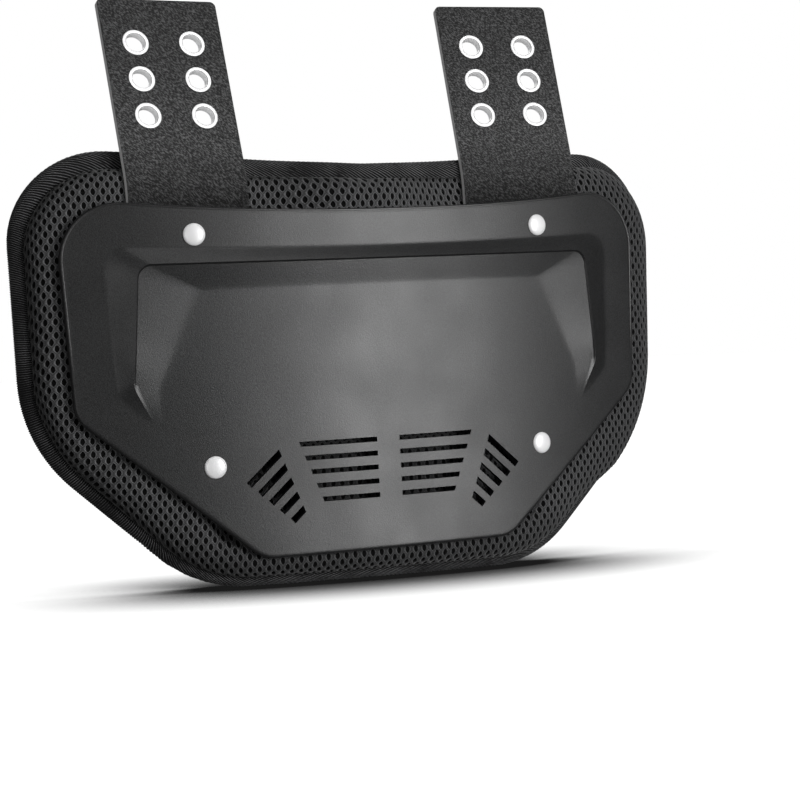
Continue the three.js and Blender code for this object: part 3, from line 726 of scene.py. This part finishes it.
def strap_pattern():
    """The flat cut of a strap as triangles over (across, along), with its border loops and their edges."""
    half, length, corner = STRAP["width"] / 2, STRAP["length"], STRAP["corner"]
    arc = np.linspace(0, math.pi / 2, CUT["corner_steps"])
    top_right = [half - corner, length - corner] + corner * on_circle(arc)
    side = np.linspace(0, length - corner, CUT["side_steps"])[:-1]
    tail = np.linspace(-half, half, CUT["tail_steps"])[1:-1]
    border = np.concatenate([
        np.stack([tail, 0 * tail], 1), np.stack([0 * side + half, side], 1), top_right,
        top_right[::-1] * [-1, 1], np.stack([0 * side - half, side[::-1]], 1)])
    hole_radius = EYELET["barrel"] + CUT["hole_gap"]
    ring = hole_radius * on_circle(np.linspace(0, 2 * math.pi, CUT["hole_sides"], endpoint=False))
    holes = [[across, along] + ring for along, across in eyelet_seats]
    step = CUT["grid"]
    grid = np.meshgrid(np.arange(-half + 0.5, half, step), np.arange(step / 2, length, step))
    grid = np.stack(grid, -1).reshape(-1, 2)
    edge = np.concatenate([border] + holes)
    clear = nearest(grid, edge) > CUT["clear"]
    edges, start = [], 0
    for loop in [border] + holes:
        index = start + np.arange(len(loop))
        edges += np.stack([index, np.roll(index, -1)], 1).tolist()
        start += len(loop)
    points = np.concatenate([edge, grid[clear]])
    made = geometry.delaunay_2d_cdt([Vector(p) for p in points], edges, [], 1, 1e-6)
    points, triangles = np.array(made[0]), np.array(made[2])
    middle = points[triangles].mean(1)
    in_hole = np.zeros(len(middle), bool)
    for along, across in eyelet_seats:
        in_hole |= np.linalg.norm(middle - [across, along], axis=1) < hole_radius - 0.05
    return points, triangles[~in_hole], edge


pattern_points, pattern_triangles, pattern_edge = strap_pattern()
rounding = ROUNDING * np.square(1 - smoothstep(0, ROUNDED_WIDTH, nearest(pattern_points, pattern_edge)))


def strap_mesh(sign):
    """Front and back faces from the flat cut, with the cut edges as walls between them."""
    across, along = pattern_points.T
    count = len(pattern_points)
    front = strap_point(sign, along, across, rounding)
    back = strap_point(sign, along, across, STRAP["thickness"] - rounding)
    faces = pattern_triangles.tolist() + (pattern_triangles[:, ::-1] + count).tolist()
    sides = np.concatenate([pattern_triangles[:, pair] for pair in ([0, 1], [1, 2], [2, 0])])
    held = {tuple(pair) for pair in sides.tolist()}
    walls = [(b, a, a + count, b + count) for a, b in held if (b, a) not in held]
    return np.concatenate([front, back]), faces, [list(wall) for wall in walls]


leather_black, tree = new_material("strap_leather_black")
place = add_node(tree, "ShaderNodeTexCoord").outputs["Object"]
lay = add_node(tree, "ShaderNodeMapping", {
    "Vector": place, "Rotation": (0, math.radians(42), 0), "Scale": (3.2, 1, 1)}, vector_type="TEXTURE")
grain = add_node(tree, "ShaderNodeTexNoise", {
    "Vector": lay.outputs["Vector"], "Scale": 2500.0, "Detail": 1.0}).outputs["Fac"]
STRAP_FOOT, STRAP_END = -0.055, 0.035     # heights of the plate's top edge and the strap's end, in metres
height_up_strap = add_node(tree, "ShaderNodeMapRange", {
    "Value": add_node(tree, "ShaderNodeSeparateXYZ", {0: place}).outputs["Z"],
    "From Min": STRAP_FOOT, "From Max": STRAP_END}).outputs["Result"]
tone = ramp(tree, grain, (0.45, (0.003, 0.003, 0.0031)), (0.68, (0.13, 0.1305, 0.1325)))
# Painted shade darkens the leather towards the plate's top edge, and a painted sheen lightens it about a
# third of the way up; the roughness follows the same heights.
painted_strap_shade_and_sheen = ramp(tree, height_up_strap, (0.02, 0.3), (0.12, 0.62), (0.3, 1.0), (0.45, 1.0), (0.7, 0.8), (1.0, 0.76))
gloss = ramp(tree, height_up_strap, (0.02, 0.95), (0.12, 0.8), (0.3, 0.56), (0.45, 0.56), (0.7, 0.62), (1.0, 0.64))
set_shader(tree, {
    "Base Color": multiplied(tree, tone, painted_strap_shade_and_sheen), "Roughness": gloss, "Specular IOR Level": 0.4,
    "Normal": bumped(tree, grain, 0.9, 0.0003)})

cut_grey, tree = new_material("strap_cut_edge_grey")
texture = add_texture(tree, 0.0004, 0.006)
set_shader(tree, {
    "Base Color": ramp(tree, texture["Speckle"], (0.3, 0.78), (0.75, 0.95)), "Roughness": 0.9,
    "Normal": bumped(tree, texture["Height"], 0.6, 0.0003)})

for side, sign in (("left", -1), ("right", 1)):
    strap_points, strap_faces, strap_walls = strap_mesh(sign)
    strap = add_piece(f"strap_end_{side}", strap_points, strap_faces + strap_walls)
    strap.data.materials.append(leather_black)
    strap.data.materials.append(cut_grey)
    slots = np.zeros(len(strap.data.polygons), np.int32)
    slots[len(strap_faces):] = 1
    strap.data.polygons.foreach_set("material_index", slots)
    strap.data.set_sharp_from_angle(angle=math.radians(40))
    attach(strap, "root")
    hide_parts(f"strap_{side}")


# Plate
# One injection moulding in dark grey polypropylene, 2.6 mm thick, with a fine sandy grain. A ridge with a
# small step inside it frames a panel that dips to the flange's level, and the foot is pierced by vents.
PLATE_WALL = 2.6
RELIEF_OUTLINES = {
    "bevel": (40.2, 113.6, 43.6, 9.0, 110.5, -16.0, 8, 96.0, -31.0, 4, 0.45),
    "ridge": (35.0, 100.6, 35.7, 6.0, 104.4, -13.0, 9, 95.6, -30.4, 4, 0.45),
    "step": (34.3, 99.9, 35.0, 5.5, 103.6, -12.8, 9, 95.1, -30.0, 4, 0.45),
    "facet": (24.4, 76.5, 24.6, 2.5, 93.5, -13.5, 13, 94.0, -29.5, 3, 0.45),
}
RELIEF = [   # from, to, and rows of the share of the way and the height forward of the flange
    ("facet", "step", [(0.00, 0.06), (0.06, 0.15), (0.15, 0.33), (0.30, 0.66), (0.50, 1.10), (0.70, 1.54),
                       (0.88, 1.94)]),
    ("step", "ridge", [(0.00, 2.20), (0.85, 2.98)]),
    ("ridge", "bevel", [(0.00, 3.04), (0.03, 2.97), (0.40, 1.82), (0.80, 0.56), (0.91, 0.22), (1.00, 0.05)]),
    ("bevel", "plate", [(0.06, 0.0), (0.15, 0.0), (0.30, 0.0), (0.45, 0.0), (0.60, 0.0), (0.74, 0.0)]),
]
PANEL_SHARES = [0.1, 0.22, 0.34, 0.46, 0.58, 0.7, 0.82, 0.92, 0.98]
PLATE_EDGE = [   # distance in from the edge, depth, and what the fine bead along the upper edge adds to it
    (3.2, 0.0, 0.0), (2.2, 0.0, 0.0), (1.6, 0.0, 0.0), (1.3, 0.02, 0.05), (1.05, 0.05, -0.02),
    (0.75, 0.11, -0.21), (0.45, 0.24, -0.31), (0.15, 0.55, -0.35), (0.0, 0.95, -0.25), (0.0, 2.1, 0.0),
    (0.2, 2.5, 0.0), (0.6, 2.6, 0.0),
]
VENTS = dict(rows=5, width=2.05, pitch=5.74, first_z=-38.85, inner_x=5.0, outer_x=38.9, slant=0.381,
             diagonal_gap=9.4, diagonal_z=-41.3, diagonal_pitch=5.83, diagonal_width=2.85,
             diagonal_turn=math.radians(-42.2), diagonal_length=18.9, diagonal_shorten=2.85)

relief_loops = {name: outline_loop(*row) for name, row in RELIEF_OUTLINES.items()}
relief_loops["plate"] = plate_loop
RIDGE_FOOT, RIDGE_WHOLE = -29, 0     # heights between which the ridge comes up


def raised(loop, height):
    """A loop on the plate's face, raised where the ridge is whole and dying out towards the foot."""
    points = on_bow(loop, 0.0)
    points[:, 1] -= height * smoothstep(RIDGE_FOOT, RIDGE_WHOLE, loop[:, 1])
    return points


def inset(loop, distance):
    """A loop drawn in from the plate's edge, square to it."""
    along = np.roll(loop, -1, 0) - np.roll(loop, 1, 0)
    inward = np.stack([along[:, 1], -along[:, 0]], 1)
    return loop + distance * inward / np.linalg.norm(inward, axis=1)[:, None]


front_loops = [raised(shrunk(relief_loops["facet"], share), 0.02) for share in PANEL_SHARES]
front_loops += [raised(relief_loops[a] + (relief_loops[b] - relief_loops[a]) * share, height)
                for a, b, rows in RELIEF for share, height in rows]
beaded = smoothstep(-30, 10, plate_loop[:, 1])
edge_loops = [on_bow(inset(plate_loop, distance), depth + bead * beaded)
              for distance, depth, bead in PLATE_EDGE]
back_loops = [loop + [0, PLATE_WALL, 0] for loop in front_loops[::-2]]
plate_loops = front_loops + edge_loops + back_loops
panel_middle = raised(np.array([[0, FILL_CENTRE_Z]]), 0.02)
plate_points = np.concatenate(plate_loops + [panel_middle, panel_middle + [0, PLATE_WALL, 0]])
plate = add_piece("plate_moulding", plate_points, loft_faces(len(plate_loops), loop_points))


def vent_corners():
    """Corners (x, z) of every vent: level ones beside the middle, and slanted ones beyond them."""
    v = VENTS
    direction = np.array([math.cos(v["diagonal_turn"]), math.sin(v["diagonal_turn"])])
    normal = np.array([direction[1], -direction[0]])
    corners = []

    def outer(z):
        return v["outer_x"] + (z - v["first_z"]) * v["slant"]

    for row in range(v["rows"]):
        top = v["first_z"] - row * v["pitch"]
        bottom = top - v["width"]
        level = [(v["inner_x"], top), (outer(top), top), (outer(bottom), bottom), (v["inner_x"], bottom)]
        start_z = v["diagonal_z"] - row * v["diagonal_pitch"]
        start = np.array([outer(start_z) + v["diagonal_gap"], start_z])
        end = start + direction * (v["diagonal_length"] - row * v["diagonal_shorten"])
        drop = v["diagonal_width"] / (normal[0] * v["slant"] + normal[1])
        slanted = [start, end, end + normal * v["diagonal_width"], start + drop * np.array([v["slant"], 1.0])]
        for shape in (np.array(level), np.array(slanted)):
            corners += [shape, (shape * [-1, 1])[::-1]]
    return corners


CUT_REACH = 8     # how far the vents' cutters reach before and behind the plate's face
vent_points, vent_faces = [], []
for shape in vent_corners():
    base = len(vent_points)
    middle = float(bow(shape[:, 0].mean()))
    vent_points += [[x, middle + reach, z] for reach in (-CUT_REACH, CUT_REACH) for x, z in shape]
    vent_faces += [[base + 3, base + 2, base + 1, base], [base + 4, base + 5, base + 6, base + 7]]
    vent_faces += [[base + i, base + (i + 1) % 4, base + 4 + (i + 1) % 4, base + 4 + i] for i in range(4)]
vent_cutter = add_piece("vent_cutter", vent_points, vent_faces, smooth=False)
cut = plate.modifiers.new("vents", "BOOLEAN")
cut.object = vent_cutter
cut.solver = "EXACT"
bake_modifiers(plate)
bpy.data.objects.remove(vent_cutter)
plate.data.set_sharp_from_angle(angle=math.radians(30))

plate_grey, tree = new_material("plate_plastic_grey")
texture = add_texture(tree, 0.00045, 0.03)
tone = ramp(tree, texture["Speckle"], (0.35, (0.002, 0.002, 0.0022)), (0.65, (0.0205, 0.0208, 0.0213)))
set_shader(tree, {
    "Base Color": tone, "Roughness": ramp(tree, texture["Patches"], (0.25, 0.36), (0.75, 0.44)),
    "Specular IOR Level": 0.5, "Normal": bumped(tree, texture["Height"], 0.3, 0.0002)})
plate.data.materials.clear()
plate.data.materials.append(plate_grey)
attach(plate, "root")
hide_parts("plate")


# Cap rivets
# Bright plated rivets with low domed caps. The upper pair holds the strap tails to the plate and the lower
# pair the pad's cover; each is a cap on a short post.
RIVET_SEATS = [(-77.0, 46.8), (77.0, 46.8), (-73.6, -46.8), (73.6, -46.8)]
FIXING_SIDES = 40
RIVET_PROFILE = [   # radius, depth behind the plate's face
    (0.0, -1.5), (1.3, -1.46), (2.5, -1.33), (3.4, -1.12), (4.0, -0.86), (4.4, -0.55), (4.52, -0.36),
    (4.5, -0.2), (4.4, -0.1), (4.2, -0.06), (2.0, -0.05), (2.0, 5.5), (0.0, 5.5),
]


def turned(name, profile, sides):
    """A mesh object turned about the depth axis from (radius, depth) rows, in metres, faces outward."""
    closed = profile[0] == profile[-1]
    angles = np.linspace(0, 2 * math.pi, sides, endpoint=False)
    points, rings = [], []
    for radius, depth in profile[:-1] if closed else profile:
        if radius == 0:
            rings.append([len(points)] * sides)
            points.append((0, depth, 0))
        else:
            rings.append(list(range(len(points), len(points) + sides)))
            points += [(radius * math.cos(a), depth, radius * math.sin(a)) for a in angles]
    if closed:
        rings.append(rings[0])
    faces = []
    for inner, outer in zip(rings, rings[1:]):
        for i in range(sides):
            j = (i + 1) % sides
            face = [inner[i], inner[j], outer[j], outer[i]]
            faces.append(list(dict.fromkeys(face)))
    mesh = new_mesh(name, points, faces, smooth=True)
    mesh.set_sharp_from_angle(angle=math.radians(50))
    return bpy.data.objects.new(name, mesh)


def fixing_tree():
    """Sets one fixing on each marked point, turned the way that the point says."""
    tree, ids, given = start_tree("set_fixings", ("Fixing", "Object", None), ("Finish", "Material", None))
    facing = read_mark(tree, "facing", "FLOAT_VECTOR")
    turn = add_node(tree, "FunctionNodeEulerToRotation", {0: facing}).outputs[0]
    placed = add_node(tree, "GeometryNodeInstanceOnPoints", {
        "Points": given["Geometry"], "Instance": shape_of(tree, given["Fixing"]), "Rotation": turn})
    end_tree(tree, geometry_node(tree, "RealizeInstances", placed.outputs["Instances"]), given["Finish"])
    return tree, ids


def seat_points(name, places, turns):
    """A mesh of bare points, each with the turn of what is set on it."""
    mesh = new_mesh(name, np.asarray(places) + PLATE_CENTRE)
    mark = mesh.attributes.new("facing", "FLOAT_VECTOR", "POINT")
    mark.data.foreach_set("vector", np.asarray(turns, float).ravel())
    return mesh


bright_metal, tree = new_material("plated_metal_bright")
texture = add_texture(tree, 0.0006, 0.008)
tone = ramp(tree, texture["Patches"], (0.3, (0.9, 0.9, 0.905)), (0.75, (0.96, 0.96, 0.963)))
# Painted shade: a grey ring on the eyelets where the barrel rolls into the front flange.
lip_shade_tone = ramp(tree, shader_mark(tree, "painted_lip_shade"), (0.0, 1.0), (1.0, 0.26))
set_shader(tree, {
    "Base Color": multiplied(tree, tone, lip_shade_tone), "Metallic": 0.12,
    "Roughness": ramp(tree, texture["Speckle"], (0.3, 0.32), (0.75, 0.45)),
    "Normal": bumped(tree, texture["Height"], 0.08, 0.0001)})

set_fixings, fixing_ids = fixing_tree()
rivet_shape = turned("rivet_shape", RIVET_PROFILE, FIXING_SIDES)
rivet_places = [(x, float(bow(x)), z) for x, z in RIVET_SEATS]
rivet_turns = [(0, 0, math.asin(x / BOW_RADIUS)) for x, z in RIVET_SEATS]
rivets = grown("cap_rivets", set_fixings, fixing_ids, {"Fixing": rivet_shape, "Finish": bright_metal},
               mesh=seat_points("rivet_seats", rivet_places, rivet_turns))
bpy.data.objects.remove(rivet_shape)
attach(rivets, "root")
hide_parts("rivet_top_left", "rivet_top_right", "rivet_bottom_left", "rivet_bottom_right")


# Eyelets
# Two-part plated eyelets set through each strap. A barrel lines the hole, the front flange is rolled over
# in a half round with a ring of painted shade at its lip, and the back flange is flatter.
EYELET_PROFILE = [   # radius, depth behind the middle of the strap
    (4.05, -1.4), (4.07, -1.6), (4.12, -1.75), (4.24, -1.86), (4.34, -1.92), (4.54, -2.0), (4.75, -2.06),
    (5.05, -2.1), (5.35, -2.04), (5.56, -1.88), (5.62, -1.7), (5.56, -1.58), (5.4, -1.55), (4.5, -1.55),
    (4.5, 1.55), (5.4, 1.55), (5.5, 1.7), (5.45, 2.0), (5.2, 2.2), (4.9, 2.25), (4.4, 2.2), (4.15, 2.0),
    (4.05, 1.6), (4.05, -1.4),
]
LIP_SHADE_RADII = (4.1, 4.3)    # radii of the ring of painted shade where the barrel is rolled into the front flange
eyelet_places, eyelet_turns = [], []
for sign in (-1, 1):
    for along, across in eyelet_seats:
        eyelet_places.append(strap_point(sign, along, across, STRAP["thickness"] / 2))
        eyelet_turns.append((-float(strap_route(along)[0]), 0, float(strap_pivot(sign, along)[0])))
eyelet_shape = turned("eyelet_shape", EYELET_PROFILE, FIXING_SIDES)
mark_points(eyelet_shape.data, "painted_lip_shade", [
    float(point.co.y < 0 and LIP_SHADE_RADII[0] < math.hypot(point.co.x, point.co.z) / MM < LIP_SHADE_RADII[1])
    for point in eyelet_shape.data.vertices])
eyelets = grown("strap_eyelets", set_fixings, fixing_ids, {"Fixing": eyelet_shape, "Finish": bright_metal},
                mesh=seat_points("eyelet_seats", eyelet_places, eyelet_turns))
bpy.data.objects.remove(eyelet_shape)
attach(eyelets, "root")
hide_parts(*[f"eyelet_{side}_{i}" for side in ("left", "right") for i in range(1, 7)])


# Studio
# A pale floor that the foot of the pad just meets, a broad soft lamp in front on the right, weaker ones on
# the left, above and behind, one each for the rivets and the eyelets, and the camera of the photograph.
EYE_YAW, EYE_PITCH, EYE_ROLL = -0.40718, 0.02447, -0.05429     # radians
EYE_SHIFT = (-6.95579, 24.02699, 825.765)      # how far the plate's middle lies from the lens, in millimetres
LAMP_DISTANCE = 1.5     # metres from the plate's middle
FLOOR_HALF, FLOOR_CONTACT = 40, 0.075     # metres; the floor leans with the pad and meets it at this x
FLOOR_SHADE = 0.09     # metres over which the painted shadow darkens the floor towards the pad
floor_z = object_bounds()[0].z
floor_mesh = bpy.data.meshes.new("floor")
floor_corners = [(sx * FLOOR_HALF, sy * FLOOR_HALF) for sx, sy in ((-1, -1), (1, -1), (1, 1), (-1, 1))]
floor_mesh.from_pydata([(x, y, floor_z + PAD_SKEW * (FLOOR_CONTACT - x)) for x, y in floor_corners],
                       [], [(0, 1, 2, 3)])
floor = add_object("floor", floor_mesh)
floor_white, tree = new_material("floor_white")
# Painted shadow: the floor's colour darkens by ambient occlusion near the pad, since its wash lamp casts no
# shadow.
shade = add_node(tree, "ShaderNodeAmbientOcclusion", {"Distance": FLOOR_SHADE}, samples=32).outputs["AO"]
painted_contact_shadow = ramp(tree, shade, (0.5, 0.005), (0.62, 0.055), (0.73, 0.195), (0.83, 0.36), (0.92, 0.5))
set_shader(tree, {"Base Color": painted_contact_shadow, "Roughness": 0.9, "Specular IOR Level": 0.0})
floor_mesh.materials.append(floor_white)
floor.visible_diffuse = False
floor.visible_glossy = False


def collected(name, piece):
    collection = bpy.data.collections.new(name)
    collection.objects.link(piece)
    return collection


floor_only, all_but_floor = collected("floor_only", floor), collected("all_but_floor", floor)
all_but_floor.collection_objects[0].light_linking.link_state = "EXCLUDE"
rivets_only, eyelets_only = collected("rivets_only", rivets), collected("eyelets_only", eyelets)
object_centre = Vector((0, PLATE_CENTRE[1] * MM, PLATE_CENTRE[2] * MM))


def bearing(azimuth, elevation):
    """Direction out from the plate for two angles in radians; azimuth 0 is straight in front."""
    level = math.cos(elevation)
    return np.array([math.sin(azimuth) * level, -math.cos(azimuth) * level, math.sin(elevation)])


def add_lamp(name, azimuth, elevation, width, height, power, lit=all_but_floor):
    """An area lamp that looks at the plate's middle from a bearing in degrees."""
    lamp = bpy.data.lights.new(name, "AREA")
    lamp.shape = "RECTANGLE"
    lamp.size, lamp.size_y, lamp.energy = width, height, power
    back = Vector(bearing(math.radians(azimuth), math.radians(elevation)))
    holder = add_object(name, lamp)
    holder.location = object_centre + back * LAMP_DISTANCE
    holder.rotation_mode = "QUATERNION"
    holder.rotation_quaternion = (-back).to_track_quat("-Z", "Y")
    holder.light_linking.receiver_collection = lit


add_lamp("key_right", 24, -1, 0.6, 1.0, 27.5)
add_lamp("fill_left", -42, 5, 0.25, 0.6, 2.6)
add_lamp("high_front", 6, 50, 0.9, 0.4, 3.4)
add_lamp("back_fill", 165, 35, 1.2, 1.2, 9)
add_lamp("rivet_glint", -40, -18, 0.6, 0.6, 12, lit=rivets_only)
add_lamp("eyelet_glint", -30, -8, 0.6, 0.6, 40, lit=eyelets_only)
wash = bpy.data.lights.new("floor_wash", "SUN")
wash.energy, wash.use_shadow = 6.6, False
add_object("floor_wash", wash).light_linking.receiver_collection = floor_only

world = bpy.data.worlds.new("studio")
bpy.context.scene.world = world
world.use_nodes = True
ray = add_node(world.node_tree, "ShaderNodeLightPath").outputs["Is Camera Ray"]
glow = add_node(world.node_tree, "ShaderNodeMapRange", {"Value": ray, "To Min": 0.1, "To Max": 1.0})
set_inputs(world.node_tree, world.node_tree.nodes["Background"], {
    "Color": (1, 1, 1, 1), "Strength": glow.outputs["Result"]})

back = bearing(EYE_YAW, EYE_PITCH)
right = np.array([math.cos(EYE_YAW), math.sin(EYE_YAW), 0.0])
up = np.cross(back, right)
axes = np.array([math.cos(EYE_ROLL) * right + math.sin(EYE_ROLL) * up,
                 -math.sin(EYE_ROLL) * right + math.cos(EYE_ROLL) * up, back])
eye = axes.T @ np.array([-EYE_SHIFT[0], -EYE_SHIFT[1], EYE_SHIFT[2]])
lens = bpy.data.cameras.new("photo_camera")
lens.lens, lens.sensor_width = 90.0, 36.0
camera = add_object("photo_camera", lens)
camera.matrix_world = Matrix.Translation(Vector((eye + PLATE_CENTRE) * MM)) @ Matrix(axes.T.tolist()).to_4x4()
bpy.context.scene.camera = camera
bpy.context.scene.view_settings.view_transform = "Standard"
